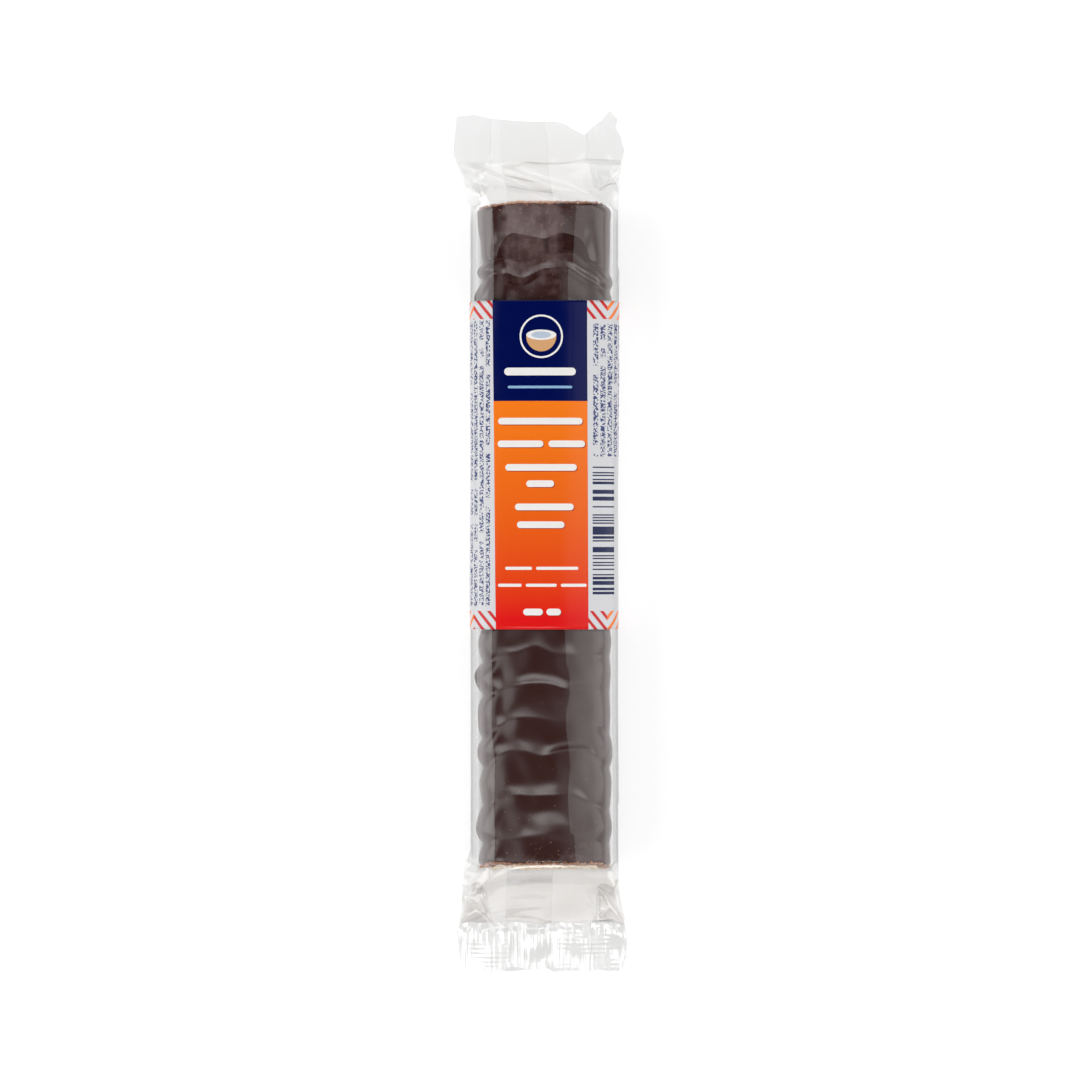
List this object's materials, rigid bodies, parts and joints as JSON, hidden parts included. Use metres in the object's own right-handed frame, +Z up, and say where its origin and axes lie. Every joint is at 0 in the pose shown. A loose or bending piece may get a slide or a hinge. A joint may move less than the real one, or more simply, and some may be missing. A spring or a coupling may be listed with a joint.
{
  "type": "dark chocolate coconut bar",
  "caption": "Dark chocolate bar with a coconut filling, sealed in a clear film pack with pressed end seals, a folded back seam and a printed label band.",
  "frame": {"origin": "centre of the pack's bounding box at the level that it lies on, under its folded back seam", "axes": "+X along the pack's width, +Y along its length to the head with the tear notch, +Z up out of the printed front"},
  "size_m": [0.0344, 0.1706, 0.0218],
  "materials": {
    "film": "clear, glossy, thin heat-sealed film",
    "label": "printed satin film: dark blue, orange to red, and white",
    "chocolate": "dark chocolate coating, satin, with low ripples",
    "coconut": "pressed shredded coconut, matt and rough"
  },
  "bodies": {
    "root": {"film_pack": "film", "label": "label"}
  },
  "joints": []
}
